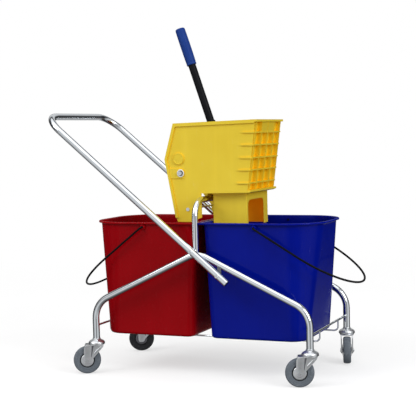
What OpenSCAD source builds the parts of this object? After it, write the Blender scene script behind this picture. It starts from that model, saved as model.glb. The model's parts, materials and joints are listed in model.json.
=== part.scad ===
// Mop trolley: two buckets on a tube frame with casters, and a down-press wringer.
// Millimetres. +X is the front, +Z is up, and the right side is -Y. The origin is on the
// floor, midway between the four legs.

/* [Frame] */
// Distance between the front and rear legs
leg_spacing = 816; // [800:1:830]
// Distance between the right and left legs
track = 452; // [448:1:470]
// Outer diameter of the frame and handle tube
tube_d = 25; // [24:0.5:26]
// Wall of every tube
tube_wall = 1.5; // [1:0.1:2]
// Centreline bend radius of the frame and handle tube
bend_r = 85; // [75:1:90]
// Height of the lower end of the legs
leg_z = 128; // [126:1:130]
// Height where leg and diagonal would meet without the bend
knee_z = 256; // [252:1:260]
// Height where the two diagonals would meet without the bend
peak_z = 450; // [448:1:452]
// Height of the end rods
rod_z = 175; // [173:1:178]
// Diameter of the end rods
rod_d = 8; // [7:0.5:9]
// Diameter of the wires under the buckets
base_wire_d = 6; // [5:0.5:6.5]
// Distance of the base wires from the middle
base_wire_y = 113; // [90:1:130]

/* [Hoop and push handle] */
// Outer diameter of the hoop tube
hoop_d = 22; // [20:0.5:22]
// Height of the hoop's crossbar
hoop_z = 632; // [630:0.5:634]
// Bend radius of the hoop
hoop_bend_r = 62; // [50:1:70]
// Position of the handle's cross bar along the trolley
bar_x = -584.5; // [-600:0.5:-570]
// Height of the handle's cross bar
bar_z = 940; // [934:1:944]
// Slope of the handle arms below level
arm_slope = 40.17; // [39.8:0.01:40.5]
// Length of the handle arms from the bar to the cut ends
arm_len = 920; // [900:1:940]

/* [Casters] */
// Wheel diameter
wheel_d = 100; // [98:1:101]
// Tyre width
tyre_w = 30; // [26:1:31]
// Horizontal distance from the swivel axis to the axle
trail = 36; // [32:1:38]
// Axle diameter
axle_d = 8; // [7:0.5:9]

/* [Buckets] */
// Length over the rim
rim_len = 441; // [430:1:441]
// Width over the rim
rim_w = 396; // [380:1:396]
// Height of the rim
rim_z = 552; // [548:1:552]
// Height of the underside
bucket_z = 139; // [138:0.5:144]
// Width of the rolled lip at the sides and the outer end
lip_w = 10; // [8:0.5:10]
// Width of the lip at the end under the hoop
inner_lip_w = 20; // [16:1:20]
// How far the body leans in at the outer end, from rim to base
end_taper = 47; // [45:1:55]
// How far the body leans in at the end under the hoop, from rim to base
inner_taper = 12; // [10:1:16]
// How far the body leans in on each side, from rim to base
side_taper = 10; // [9:0.5:14]
// Wall of the buckets
bucket_wall = 2.5; // [2:0.1:3]
// Diameter of the bail wire
bail_d = 7.5; // [6:0.5:7.5]
// Angle below level at which the red bail rests
red_bail_angle = 38; // [30:1:45]
// Angle below level at which the blue bail rests
blue_bail_angle = 31; // [20:1:40]

/* [Wringer] */
// Outer half width of the side plates
plate_y = 136; // [134:1:137]
// Thickness of the moulded walls
wringer_wall = 4; // [3:0.5:4]
// Height of the chamber's floor, at its underside
floor_z = 652; // [651:0.5:654]
// Depth of the ribs on the grid end
rib_depth = 15; // [10:1:16]
// Position of the press yoke's pivot along the trolley
pivot_x = -94; // [-96:1:-92]
// Height of the press yoke's pivot
pivot_z = 725; // [723:1:727]
// Angle of the press plate above level at rest
press_angle = 62; // [60:1:63]
// Length of the press plate from the pivot
press_reach = 190; // [180:1:190]
// Lean of the lever to the rear of vertical
lever_lean = 18.6; // [18:0.1:19]
// Height of the top of the lever's grip
lever_top_z = 1252; // [1194:1:1264]

/* [Hidden] */
$fn = 48;
FINE = 32;
CORNERS = ["rear_right", "front_right", "front_left", "rear_left"];

leg_x = leg_spacing / 2;
leg_y = track / 2;
tube_r = tube_d / 2;
arm_y = leg_y + tube_d;
slope = atan((peak_z - knee_z) / leg_x);
peak_axis_z = peak_z - bend_r * (1 / cos(slope) - 1);
hoop_x = -5;
hoop_r = hoop_d / 2;
upper_bolt = [-11, 456];
lower_bolt = [87, 373.2];
bolt_d = 6;
base_wire_z = bucket_z - 0.4 - base_wire_d / 2;
bend_lap = 0.6;
bend_thinning = 0.12;

wheel_r = wheel_d / 2;
hub_r = 27;
fork_gap = tyre_w / 2 + 3.5;
cheek_t = 2.5;
cup_z = 108;
crown_z = cup_z - 0.5;
crown_t = 3.5;
king_pin_r = 6;
running = 0.05;
// Direction in which each wheel trails its leg, in CORNERS' order
trail_angle = [208, 198, 286, 205];
leg_at = [[-leg_x, -leg_y], [leg_x, -leg_y], [leg_x, leg_y], [-leg_x, leg_y]];

bucket_gap = 2;
bucket_mid_x = -13;
bail_at = 213;
bail_z = 535;
bail_y = rim_w / 2 + 7;
bail_arm = 183;
inner_corner_r = 18;
outer_corner_r = 140;
base_inner_r = 28;
base_outer_r = 60;
base_round = 9;
lip_h = 9;

clear = 0.4;
face_lean = 0.136;
face_x0 = 162;
top_rear = [-120, 904];
top_front_z = 911;
inner_y = plate_y - wringer_wall;
flange = 5;
foot_x = -17;
lip_z = floor_z + 5;
grid_levels = [688, 734, 777, 822, 866];
rod_at = [-70, 595];
chute_x = [17, 146];
chute_y = 108;
chute_z = 532;
yoke_y = 112;
yoke_t = 5;
pivot_r = 5;
tail_at = [-118, 716];
yoke_bar_r = 11;
lever_r = 14;
socket_r = lever_r + 2.6;
socket_h = 50;
lever_foot = [-14, 862];
plate_back = 16;
plate_front = 28;
spring_y = yoke_y + yoke_t + 7;
lever_len = (lever_top_z - lever_foot[1]) / cos(lever_lean);

function dir(a) = [cos(a), sin(a)];
function bearing(v) = atan2(v[1], v[0]);
function face_x(z) = face_x0 + (z - floor_z) * face_lean;
// Point at distance r from the yoke's pivot, and d to the right of the line at press_angle
function on_press(r, d) = [pivot_x, pivot_z] + r * dir(press_angle) + d * dir(press_angle - 90);

// How far the bend at each corner of a path reaches along the two lines that meet there
function turn_at(path, i) =
    let (t = bearing(path[i + 1] - path[i]) - bearing(path[i] - path[i - 1])) t < 0 ? t + 360 : t;
function cut_at(path, bends, i) =
    i == 0 || i == len(path) - 1 ? 0 : bends[i - 1] * tan(turn_at(path, i) / 2);
function run_at(path, bends, i) =
    norm(path[i + 1] - path[i]) - cut_at(path, bends, i) - cut_at(path, bends, i + 1);

// A tube along a path in the XY plane that only turns left, with a bend radius for each
// corner. It is open at both ends, or a solid bar where wall is 0.
module bent_tube(path, r, wall, bends) {
    last = len(path) - 1;
    runs = [for (i = [0 : last - 1]) run_at(path, bends, i)];
    turns = [for (i = [1 : 1 : last - 1]) turn_at(path, i)];
    translate([path[0][0], path[0][1], 0]) rotate([90, 0, 90 + bearing(path[1] - path[0])])
        difference() {
            bar_from(runs, turns, bends, r);
            if (wall > 0) translate([0, 0, -1]) bar_from([for (i = [0 : last - 1])
                runs[i] + (i == 0 ? 1 : 0) + (i == last - 1 ? 1 : 0)], turns, bends, r - wall);
        }
}

// A bar that starts along +Z, and at each corner bends towards its own +X. Bends other than
// quarter turns are a hair thinner than the straights, which run a little way into them.
module bar_from(runs, turns, bends, r, i = 0) {
    before = i > 0 && turns[i - 1] != 90 ? bend_lap : 0;
    after = i < len(turns) && turns[i] != 90 ? bend_lap : 0;
    if (runs[i] > 0.01) translate([0, 0, -before]) cylinder(r = r, h = runs[i] + before + after);
    if (i < len(turns)) translate([bends[i], 0, runs[i]]) {
        rotate([90, 0, 180]) rotate_extrude(angle = turns[i]) translate([bends[i], 0])
            circle(r - (turns[i] != 90 ? bend_thinning : 0));
        rotate([0, turns[i], 0]) translate([-bends[i], 0, 0])
            bar_from(runs, turns, bends, r, i + 1);
    }
}

// Stands a shape drawn in XY up in the XZ plane at a given y
module upright(y) {
    translate([0, y, 0]) rotate([90, 0, 0]) children();
}

// A cylinder along Y from y0 to y1
module cross_bar(at, r, y0, y1) {
    translate([at[0], y0, at[1]]) rotate([-90, 0, 0]) cylinder(r = r, h = y1 - y0);
}

module slab(outline, y0, y1) {
    upright(y1) linear_extrude(y1 - y0) polygon(outline);
}

module both_sides() {
    children();
    mirror([0, 1, 0]) children();
}

// ---------------------------------------------------------------- frame

module side_frame(y) {
    path = [[leg_x, leg_z], [leg_x, knee_z], [0, peak_z], [-leg_x, knee_z], [-leg_x, leg_z]];
    color("gainsboro") upright(y) bent_tube(path, tube_r, tube_wall, [bend_r, bend_r, bend_r]);
}

module end_rod(x) {
    color("gainsboro")
        cross_bar([x, rod_z], rod_d / 2, -leg_y + tube_r + 0.1, leg_y - tube_r - 0.1);
}

module base_wire(y) {
    top = rod_z - rod_d / 2 - 0.1;
    color("silver") upright(y) bent_tube([[-leg_x, top], [-leg_x, base_wire_z],
        [leg_x, base_wire_z], [leg_x, top]], base_wire_d / 2, 0, [16, 16]);
}

module center_hoop() {
    color("gainsboro") difference() {
        translate([hoop_x, 0, 0]) rotate([90, 0, 90]) bent_tube([[leg_y, peak_axis_z],
            [leg_y, hoop_z], [-leg_y, hoop_z], [-leg_y, peak_axis_z]], hoop_r, tube_wall,
            [hoop_bend_r, hoop_bend_r]);
        both_sides() translate([-40, leg_y, peak_axis_z - 0.3]) rotate([0, 90, 0])
            cylinder(r = tube_r + 0.3, h = 80);
        cross_bar(upper_bolt, bolt_d / 2 + 0.2, -arm_y, arm_y);
    }
}

module push_handle() {
    color("gainsboro") difference() {
        translate([bar_x, 0, bar_z]) rotate([0, arm_slope, 0]) bent_tube([[arm_len, arm_y],
            [0, arm_y], [0, -arm_y], [arm_len, -arm_y]], tube_r, tube_wall, [bend_r, bend_r]);
        for (at = [upper_bolt, lower_bolt])
            cross_bar(at, bolt_d / 2 + 0.2, -arm_y - tube_d, arm_y + tube_d);
    }
}

// Flat tabs welded under the diagonals, one each side
module handle_tabs() {
    tab_t = 4;
    tab_w = 14;
    inside = arm_y - tube_r - 0.1;
    diagonal_z = peak_z - lower_bolt[0] * tan(slope);
    color("silver") both_sides() difference() {
        union() {
            translate([lower_bolt[0] - tab_w / 2, inside - tab_t, lower_bolt[1]])
                cube([tab_w, tab_t, diagonal_z - lower_bolt[1] - 3 - tab_w / 2 * tan(slope)]);
            cross_bar(lower_bolt, tab_w / 2, inside - tab_t, inside);
        }
        cross_bar(lower_bolt, bolt_d / 2 + 0.2, inside - 10, inside + 10);
        translate([lower_bolt[0], leg_y, diagonal_z]) rotate([0, 90 + slope, 0])
            translate([0, 0, -40]) cylinder(r = tube_r + 0.1, h = 80);
    }
}

module handle_bolt(at, inner_y) {
    outer_y = arm_y + tube_r;
    cross_bar(at, bolt_d / 2, inner_y, outer_y + 1);
    difference() {
        cross_bar(at, 6, outer_y - 1.6, outer_y + 3);
        cross_bar(at, 1.6, outer_y + 1, outer_y + 4);
        translate([at[0], arm_y, at[1]]) rotate([0, 90 + arm_slope, 0])
            cylinder(r = tube_r + 0.1, h = 40, center = true);
    }
    difference() {
        translate([at[0], inner_y, at[1]]) rotate([-90, 0, 0]) cylinder(r = 5.8, h = 5, $fn = 6);
        cross_bar(at, bolt_d / 2 - 0.1, inner_y - 1, inner_y + 6);
    }
}

module handle_bolts() {
    color("silver") both_sides() {
        handle_bolt(upper_bolt, leg_y - hoop_r - 5.2);
        handle_bolt(lower_bolt, arm_y - tube_r - 9.4);
    }
}

// ---------------------------------------------------------------- casters

module at_leg(i) {
    translate([leg_at[i][0], leg_at[i][1], 0]) rotate([0, 0, trail_angle[i]]) children();
}

// Domed cup, stem in the leg and king pin with its washer below the crown
module caster_cup(i) {
    dome = 20;
    base_r = 30;
    color("silver") at_leg(i) union() {
        intersection() {
            translate([0, 0, cup_z]) cylinder(r = base_r, h = dome - 0.2);
            translate([0, 0, leg_z - 0.2 - 38]) sphere(r = 38);
        }
        translate([0, 0, cup_z + 10]) cylinder(r = tube_r - tube_wall - 0.2, h = 44);
        translate([0, 0, crown_z - crown_t - 4.5]) cylinder(r = king_pin_r, h = 12);
        translate([0, 0, crown_z - crown_t - 4.5]) cylinder(r = 10, h = 4);
    }
}

module fork_profile() {
    top = crown_z;
    difference() {
        union() {
            polygon([[-3, top], [trail + 26, top], [trail + 24, top - 8], [28, 64], [13, 50],
                [-11, 50], [-11, 99]]);
            translate([1, 50]) circle(13);
        }
        translate([0, 50]) circle(axle_d / 2 + 0.1);
    }
}

// Drawn with the axle at the origin's x and the swivel axis at x = trail, then turned round
module fork(i) {
    outer = fork_gap + cheek_t;
    color("lightgray") at_leg(i) translate([trail, 0, 0]) mirror([1, 0, 0]) {
        both_sides() upright(outer) linear_extrude(cheek_t) fork_profile();
        difference() {
            translate([0, 0, crown_z - crown_t]) union() {
                translate([trail, 0, 0]) cylinder(r = 28, h = crown_t);
                translate([-3, -fork_gap - 0.01, 0])
                    cube([trail + 3, 2 * fork_gap + 0.02, crown_t]);
            }
            translate([trail, 0, 90]) cylinder(r = king_pin_r + running, h = 40);
        }
    }
}

module at_wheel(i) {
    at_leg(i) translate([trail, 0, wheel_r]) children();
}

// Axle bolt with a domed head and a nut
module axle(i) {
    outer = fork_gap + cheek_t;
    color("silver") at_wheel(i) rotate([90, 0, 0]) {
        translate([0, 0, -outer - 6]) cylinder(r = axle_d / 2, h = 2 * outer + 9);
        translate([0, 0, outer + 0.1]) cylinder(r = 7.5, h = 4);
        translate([0, 0, -outer - 5.1]) difference() {
            cylinder(r = 7.2, h = 5, $fn = 6);
            translate([0, 0, -1]) cylinder(r = axle_d / 2 - 0.1, h = 7);
        }
    }
}

module dust_covers(i) {
    inner = tyre_w / 2 + 0.8;
    color("lightgray") at_wheel(i) both_sides() rotate([-90, 0, 0])
        translate([0, 0, inner]) difference() {
            union() {
                cylinder(r = 22, h = 1.2);
                cylinder(r = 17, h = fork_gap - inner - 0.1);
            }
            translate([0, 0, -1]) cylinder(r = axle_d / 2 + 0.1, h = 10);
        }
}

module wheel_hub(i) {
    color("dimgray") at_wheel(i) rotate([90, 0, 0]) difference() {
        union() {
            cylinder(r = hub_r - 1.5, h = tyre_w - 6, center = true);
            cylinder(r = 11, h = tyre_w + 1, center = true);
            cylinder(r = hub_r, h = 12, center = true);
        }
        cylinder(r = axle_d / 2 + running, h = tyre_w + 4, center = true);
    }
}

// Rubber tyre with rounded shoulders and a shallow step beside the tread
module tyre(i) {
    half = tyre_w / 2;
    shoulder = 7;
    color("slategray") at_wheel(i) rotate([90, 0, 0]) rotate_extrude() difference() {
        union() {
            translate([hub_r, -half + 1]) square([wheel_r - hub_r - shoulder, tyre_w - 2]);
            translate([wheel_r - shoulder - 4, -half + shoulder])
                square([shoulder + 4, tyre_w - 2 * shoulder]);
            for (s = [-1, 1])
                translate([wheel_r - shoulder, s * (half - shoulder)]) circle(shoulder);
        }
        translate([hub_r - 1, -6.1]) square([1.1, 12.2]);
    }
}

// ---------------------------------------------------------------- buckets

// A flat plate from u0 to u1 outwards, with small corners under the hoop and large ones
// at the outer end
module bucket_plan(u0, u1, half, inner_r, outer_r, h) {
    hull() for (s = [-1, 1]) {
        translate([u0 + inner_r, s * (half - inner_r), 0]) cylinder(r = inner_r, h = h, $fn = FINE);
        translate([u1 - outer_r, s * (half - outer_r), 0]) cylinder(r = outer_r, h = h, $fn = 64);
    }
}

// The tapered outside of the body, grown inwards by the wall
module bucket_form(inset, base, top) {
    u0 = bucket_gap / 2 + inner_lip_w + inset;
    u1 = bucket_gap / 2 + rim_len - lip_w - inset;
    half = rim_w / 2 - lip_w - inset;
    hull() {
        translate([0, 0, top - 0.5])
            bucket_plan(u0, u1, half, inner_corner_r - inset, outer_corner_r - lip_w - inset, 0.5);
        translate([0, 0, base + 10]) bucket_plan(u0 + inner_taper, u1 - end_taper,
            half - side_taper, base_inner_r - inset, base_outer_r - inset, 0.5);
        translate([0, 0, base]) bucket_plan(u0 + inner_taper + base_round,
            u1 - end_taper - base_round, half - side_taper - base_round,
            base_inner_r - base_round - inset, base_outer_r - base_round - inset, 0.5);
    }
}

// The bucket on the side of the hoop given by side, 1 to the front and -1 to the rear
module bucket(side) {
    ear_y = rim_w / 2 - lip_w;
    translate([bucket_mid_x, 0, 0]) mirror([side > 0 ? 0 : 1, 0, 0]) difference() {
        union() {
            bucket_form(0, bucket_z, rim_z);
            translate([0, 0, rim_z - lip_h]) bucket_plan(bucket_gap / 2, bucket_gap / 2 + rim_len,
                rim_w / 2, inner_corner_r, outer_corner_r, lip_h);
            both_sides() cross_bar([bail_at, bail_z], 11, ear_y - 4, ear_y + 9);
        }
        bucket_form(bucket_wall, bucket_z + bucket_wall, rim_z + 1);
        cross_bar([bail_at, bail_z], bail_d / 2 + 0.3, -rim_w, rim_w);
    }
}

// Wire bail: two straight arms and a half circle, its ends turned in through the ears
module bail(side, angle) {
    end_y = rim_w / 2 - lip_w - 7;
    turn_in = 9;
    translate([bucket_mid_x + side * bail_at, 0, bail_z])
        rotate([0, side > 0 ? angle : 180 - angle, 0])
        bent_tube([[0, -end_y], [0, -bail_y], [bail_arm + bail_y, -bail_y],
            [bail_arm + bail_y, bail_y], [0, bail_y], [0, end_y]], bail_d / 2, 0,
            [turn_in, bail_y, bail_y, turn_in]);
}

// ---------------------------------------------------------------- wringer

rear_edge = [top_rear, [-156, 775]];
right_foot = [[-117, 565], [-110, 550], [-59, 550]];
left_foot = [[-131, 646], [-92, 596], [-86, 565], [-80, 550], [-55, 550]];

// Outward flanges along the top edge and the rear edges of a side plate
module plate_flange(foot) {
    band = 9;
    top_band = [[top_rear[0], top_rear[1] - 12], [top_rear[0], top_rear[1]],
        [face_x(top_front_z) - 6, top_front_z], [face_x(top_front_z) - 6, top_front_z - 12]];
    upper = [[-156, 775], [-156 + band, 775], [top_rear[0] + band, top_rear[1] - 6],
        [top_rear[0], top_rear[1]]];
    lower = [foot[0], [foot[0][0] + band, foot[0][1]], [-156 + band, 775], [-156, 775]];
    tab = [[-143, 707], [-84, 707], [-84, 742], [-149, 742]];
    slab(top_band, inner_y, plate_y + flange);
    slab(upper, inner_y, plate_y + flange);
    slab(lower, inner_y, plate_y + flange);
    slab(tab, inner_y, plate_y + 3);
}

// A side plate on the left, with the points of its foot from the rear to the front
module side_plate(foot) {
    outline = concat(rear_edge, foot, [[foot_x, 566], [foot_x, floor_z], [face_x0 - 4, floor_z],
        [face_x(top_front_z) - 4, top_front_z]]);
    slab(outline, inner_y, plate_y);
    plate_flange(foot);
    for (z = grid_levels)
        slab([[face_x(z) - 46, z - 1.6], [face_x(z) - 1, z - 2.5], [face_x(z) - 1, z + 2.5],
            [face_x(z) - 46, z + 1.6]], plate_y - 0.5, plate_y + 4);
    cross_bar([-102, 777], 21, inner_y, plate_y + 4);
}

// The grid end: an inner wall, level ribs and upright ribs, leaning with the face
module grid_end() {
    rib_t = 5;
    rib_y = inner_y - 4;
    back = rib_depth + wringer_wall;
    slab([[face_x0 - back, floor_z], [face_x0 - rib_depth, floor_z],
        [face_x(top_front_z) - rib_depth, top_front_z],
        [face_x(top_front_z) - back, top_front_z]], -inner_y, inner_y);
    for (z = grid_levels)
        slab([[face_x(z) - back + 1, z - rib_t / 2], [face_x(z), z - rib_t / 2],
            [face_x(z), z + rib_t / 2], [face_x(z) - back + 1, z + rib_t / 2]], -plate_y, plate_y);
    slab([[face_x0 - back, floor_z], [face_x0 - 2, floor_z], [face_x0 + 9, lip_z],
        [face_x0 + 9, lip_z + 6], [face_x0 - back, lip_z + 6]], -plate_y, plate_y);
    slab([[face_x(868) - back + 1, 868], [face_x(868) - 1, 868], [face_x(906) - 1, 906],
        [face_x(906) - back + 1, 906]], -rib_y / 2, rib_y / 2);
    slab([[face_x(899) - back, 903], [face_x(899) - back, top_front_z],
        [face_x(top_front_z) + 4, top_front_z], [face_x(top_front_z) + 4, 903]],
        -plate_y - flange, plate_y + flange);
    for (k = [-2 : 2]) {
        y = k * rib_y / 2;
        slab([[face_x0 - back + 1, floor_z], [face_x0, floor_z],
            [face_x(top_front_z), top_front_z], [face_x(top_front_z) - back + 1, top_front_z]],
            y - rib_t / 2, y + rib_t / 2);
    }
}

module wringer_floor() {
    translate([foot_x, -inner_y - 1, floor_z])
        cube([face_x0 - rib_depth - foot_x, 2 * inner_y + 2, wringer_wall]);
}

// Two cleats under the floor that sit on the hoop's crossbar
module saddles() {
    wide = 14;
    for (y = [-70, 70])
        slab([[foot_x, floor_z + 1], [foot_x, hoop_z - 4], [hoop_x - hoop_r - 0.4, hoop_z - 4],
            [hoop_x - hoop_r - 0.4, hoop_z + hoop_r + clear], [14, hoop_z + hoop_r + clear],
            [14, floor_z + 1]], y - wide / 2, y + wide / 2);
}

module wringer_body() {
    color("gold") difference() {
        union() {
            side_plate(left_foot);
            mirror([0, 1, 0]) side_plate(right_foot);
            saddles();
            grid_end();
            wringer_floor();
        }
        cross_bar([pivot_x, pivot_z], pivot_r + 0.1, -200, 200);
        cross_bar(rod_at, 3.1, -200, 200);
        for (i = [0 : 4], j = [-3 : 3])
            translate([32 + 25 * i, 28 * j, floor_z - 1]) cylinder(d = 12, h = 10);
    }
}

// Chute below the floor, open below, with an arched window in its front wall
module drain_chute() {
    wall = 3;
    width = chute_x[1] - chute_x[0];
    top = floor_z - 0.1;
    window = [-95, 66];
    arch_r = 22;
    window_top = 626;
    color("gold") difference() {
        translate([chute_x[0], -chute_y, chute_z]) cube([width, 2 * chute_y, top - chute_z]);
        translate([chute_x[0] + wall, -chute_y + wall, chute_z - 1])
            cube([width - 2 * wall, 2 * (chute_y - wall), top - chute_z + 2]);
        translate([chute_x[1] - 10, window[0], chute_z - 1])
            cube([20, window[1] - window[0], window_top - arch_r - chute_z + 1]);
        translate([chute_x[1] - 10, window[0] + arch_r, chute_z - 1])
            cube([20, window[1] - window[0] - 2 * arch_r, window_top - chute_z + 1]);
        for (y = [window[0] + arch_r, window[1] - arch_r])
            translate([chute_x[1] - 10, y, window_top - arch_r]) rotate([0, 90, 0])
                cylinder(r = arch_r, h = 20);
    }
}

module pivot_bolts() {
    inner = yoke_y - 8;
    color("silver") both_sides() {
        cross_bar([pivot_x, pivot_z], pivot_r, inner, plate_y + 7);
        cross_bar([pivot_x, pivot_z], 7.5, plate_y + 6.2, plate_y + 11);
        difference() {
            translate([pivot_x, inner + 0.5, pivot_z]) rotate([-90, 0, 0])
                cylinder(r = 9, h = 7, $fn = 6);
            cross_bar([pivot_x, pivot_z], pivot_r - 0.1, inner - 1, inner + 9);
        }
    }
}

module pivot_washers() {
    color("white") both_sides() difference() {
        cross_bar([pivot_x, pivot_z], 14, plate_y + 3.1, plate_y + 6.1);
        cross_bar([pivot_x, pivot_z], pivot_r + 0.1, plate_y, plate_y + 10);
    }
}

module pivot_bushes() {
    color("silver") both_sides() difference() {
        cross_bar([pivot_x, pivot_z], 9, yoke_y + yoke_t + clear, inner_y - 0.1);
        cross_bar([pivot_x, pivot_z], pivot_r + 0.1, yoke_y, inner_y + 1);
    }
}

module foot_rod() {
    color("silver") union() {
        cross_bar(rod_at, 3, -plate_y - 1, plate_y + 1);
        both_sides() cross_bar(rod_at, 6.5, plate_y + 0.1, plate_y + 2.5);
    }
}

module spring_run(r, y) {
    span = tail_at - rod_at;
    reach = norm(span) - 13;
    translate([rod_at[0], y, rod_at[1]]) rotate([0, 90 - bearing(span), 0])
        translate([0, 0, 6.5]) cylinder(r = r, h = reach);
}

// The closed outline of each extension spring
module return_springs() {
    color("dimgray") both_sides() spring_run(4, spring_y);
}

module yoke_arm_shape() {
    half = 15;
    difference() {
        union() {
            polygon([on_press(0, -half), on_press(0, half), on_press(166, half),
                on_press(166, -half)]);
            translate([pivot_x, pivot_z]) circle(half);
            polygon([[pivot_x - 2, pivot_z + 8], [pivot_x - 2, pivot_z - 12],
                [tail_at[0] + 2, tail_at[1] - 7], [tail_at[0] - 2, tail_at[1] + 7]]);
            translate(tail_at) circle(7);
            translate(on_press(166, 0)) circle(half);
        }
        translate([pivot_x, pivot_z]) circle(pivot_r + running);
    }
}

module lever_line() {
    translate([lever_foot[0], 0, lever_foot[1]]) rotate([0, -lever_lean, 0]) children();
}

// Steel arms on the pivot bolts, a cross tube between them and the lever's socket
module press_yoke() {
    bar = on_press(166, 0);
    color("silver") difference() {
        union() {
            both_sides() upright(yoke_y + yoke_t) linear_extrude(yoke_t) yoke_arm_shape();
            both_sides() cross_bar(tail_at, 2.5, yoke_y + 1, yoke_y + 13);
            cross_bar(bar, yoke_bar_r, -yoke_y - 1, yoke_y + 1);
            lever_line() cylinder(r = socket_r, h = socket_h);
        }
        lever_line() translate([0, 0, 12]) cylinder(r = lever_r + 0.1, h = socket_h);
        lever_line() translate([0, 0, 40]) rotate([90, 0, 0])
            cylinder(r = 3.1, h = 60, center = true);
    }
}

// Ribbed pressing plate across the front of the yoke's arms
module press_plate() {
    half = yoke_y - 9;
    color("goldenrod") difference() {
        union() {
            slab([on_press(22, plate_back), on_press(press_reach, plate_back),
                on_press(press_reach, plate_back + 4), on_press(22, plate_back + 4)],
                -yoke_y - yoke_t, yoke_y + yoke_t);
            for (k = [-5 : 5])
                slab([on_press(24, plate_back + 3), on_press(press_reach - 2, plate_back + 3),
                    on_press(press_reach - 2, plate_front), on_press(24, plate_front)],
                    k * half / 5 - 3, k * half / 5 + 3);
        }
        for (s = [-1, 1], r = [60, 130])
            translate([on_press(r, 0)[0], s * (yoke_y + yoke_t / 2), on_press(r, 0)[1]])
                rotate([0, 180 - press_angle, 0]) cylinder(r = 2.2, h = 60);
        lever_line() translate([0, 0, -0.3]) cylinder(r = socket_r + 0.3, h = socket_h);
    }
}

// Screws through the plate into the edges of the arms
module plate_screws() {
    color("silver") for (s = [-1, 1], r = [60, 130])
        translate([on_press(r, plate_back + 4.1)[0], s * (yoke_y + yoke_t / 2),
            on_press(r, plate_back + 4.1)[1]]) rotate([0, 180 - press_angle, 0]) {
            cylinder(r = 4, h = 2.5);
            translate([0, 0, -4.1 - 0.1]) cylinder(r = 2, h = 5);
        }
}

module lever_tube() {
    color("black") difference() {
        lever_line() translate([0, 0, 12.2]) cylinder(r = lever_r, h = lever_len - 18);
        lever_line() translate([0, 0, 11]) cylinder(r = lever_r - 2, h = lever_len - 15);
        lever_line() translate([0, 0, 40]) rotate([90, 0, 0])
            cylinder(r = 3.1, h = 60, center = true);
    }
}

module lever_pin() {
    color("silver") lever_line() translate([0, 0, 40]) rotate([90, 0, 0]) union() {
        cylinder(r = 3, h = 2 * socket_r + 2, center = true);
        for (s = [-1, 1]) translate([0, 0, s * (socket_r + 1.7)])
            cylinder(r = 4.5, h = 2.5, center = true);
    }
}

module lever_grip() {
    grip_r = lever_r + 4.2;
    grip_len = 142;
    color("royalblue") lever_line() difference() {
        translate([0, 0, lever_len - grip_len]) union() {
            cylinder(r = grip_r, h = grip_len - 5);
            translate([0, 0, grip_len - 5]) cylinder(r1 = grip_r, r2 = grip_r - 4, h = 5);
            for (k = [0 : 5]) translate([0, 0, 14 + 20 * k]) cylinder(r = grip_r + 0.8, h = 8);
        }
        translate([0, 0, lever_len - grip_len - 1]) cylinder(r = lever_r + 0.1, h = grip_len - 4);
    }
}

side_frame(-leg_y);  // side_frame_right
side_frame(leg_y);  // side_frame_left
end_rod(leg_x);  // end_rod_front
end_rod(-leg_x);  // end_rod_rear
base_wire(-base_wire_y);  // base_wire_right
base_wire(base_wire_y);  // base_wire_left
center_hoop();
push_handle();
handle_tabs();
handle_bolts();
for (i = [0 : 3]) {
    caster_cup(i);
    fork(i);
    axle(i);
    dust_covers(i);
    wheel_hub(i);
    tyre(i);
}
color("firebrick") bucket(-1);  // bucket_red
color("mediumblue") bucket(1);  // bucket_blue
color("black") bail(-1, red_bail_angle);  // bail_red
color("black") bail(1, blue_bail_angle);  // bail_blue
wringer_body();
drain_chute();
pivot_bolts();
pivot_washers();
pivot_bushes();
foot_rod();
return_springs();
press_yoke();
press_plate();
plate_screws();
lever_tube();
lever_grip();
lever_pin();
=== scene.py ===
"""Double-bucket mop trolley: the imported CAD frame, detailed meshes, materials, light and camera."""
import bpy, bmesh, json, math
from mathutils import Vector, Matrix


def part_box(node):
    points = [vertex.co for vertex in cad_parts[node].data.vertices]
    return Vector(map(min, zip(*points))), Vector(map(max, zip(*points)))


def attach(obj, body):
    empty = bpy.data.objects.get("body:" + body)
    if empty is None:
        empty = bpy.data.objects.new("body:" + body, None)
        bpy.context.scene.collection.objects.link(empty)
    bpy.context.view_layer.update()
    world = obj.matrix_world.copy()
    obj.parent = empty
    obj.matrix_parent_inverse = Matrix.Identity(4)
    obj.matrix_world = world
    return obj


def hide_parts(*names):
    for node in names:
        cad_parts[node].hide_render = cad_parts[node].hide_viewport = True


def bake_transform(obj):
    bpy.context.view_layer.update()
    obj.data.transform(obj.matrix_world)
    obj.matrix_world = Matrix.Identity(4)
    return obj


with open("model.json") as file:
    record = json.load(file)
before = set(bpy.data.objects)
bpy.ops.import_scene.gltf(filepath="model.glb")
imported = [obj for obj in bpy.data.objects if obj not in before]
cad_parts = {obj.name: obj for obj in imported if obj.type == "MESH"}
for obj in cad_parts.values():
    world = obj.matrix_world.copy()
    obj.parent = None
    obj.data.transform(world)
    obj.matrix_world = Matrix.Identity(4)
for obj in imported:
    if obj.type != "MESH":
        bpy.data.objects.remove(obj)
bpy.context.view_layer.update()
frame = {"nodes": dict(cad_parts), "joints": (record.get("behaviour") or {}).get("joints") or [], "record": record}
NODES = frame["nodes"]
scene = bpy.context.scene
CORNERS = ("rear_right", "front_right", "front_left", "rear_left")
JOINTS = {joint["name"]: joint for joint in frame["joints"]}
mm = 0.001


def pivot(joint):
    return Vector(JOINTS[joint]["pos_m"])


def box_mm(node):
    """A CAD node's lowest and highest corners in millimetres."""
    return [Vector([round(v / mm, 2) for v in corner]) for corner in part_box(node)]


def side_name(side):
    return "left" if side > 0 else "right"


# ------------------------------------------------------------------ camera

CAMERA_AT = (1.5856, -3.8889, 0.8708)
CAMERA_AZIMUTH, CAMERA_PITCH, CAMERA_ROLL = 22.8, 3.8, -1.35
CAMERA_LENS = 99.09


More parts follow.
